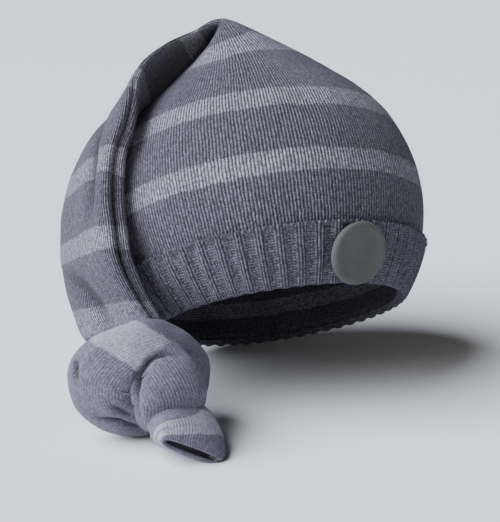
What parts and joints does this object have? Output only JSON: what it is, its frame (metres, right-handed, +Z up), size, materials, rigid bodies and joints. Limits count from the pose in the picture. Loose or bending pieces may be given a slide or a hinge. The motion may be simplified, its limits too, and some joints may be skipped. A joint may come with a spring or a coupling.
{
  "type": "knotted nightcap",
  "caption": "Newborn's knitted nightcap: striped crown with a turned-up ribbed cuff, a large covered button, and a long tail folded over at the peak and tied in a knot.",
  "frame": {"origin": "middle of the rim opening, where the cap sits on a head", "axes": "+Z up with the cap worn tilted back, -Y towards the cap's front, +X towards the side away from the tail"},
  "size_m": [0.1498, 0.1564, 0.1378],
  "materials": {
    "striped_knit": "fine stocking-stitch wool and cotton knit in heathered purple grey with pale grey stripes",
    "ribbed_knit": "ribbed knit in heathered purple grey",
    "button_felt": "close grey-green wool cloth drawn over a button blank"
  },
  "bodies": {
    "root": {"crown": "striped_knit", "cuff": "ribbed_knit", "tail": "striped_knit", "knot": "striped_knit", "tail_end": "striped_knit", "button": "button_felt"}
  },
  "joints": []
}
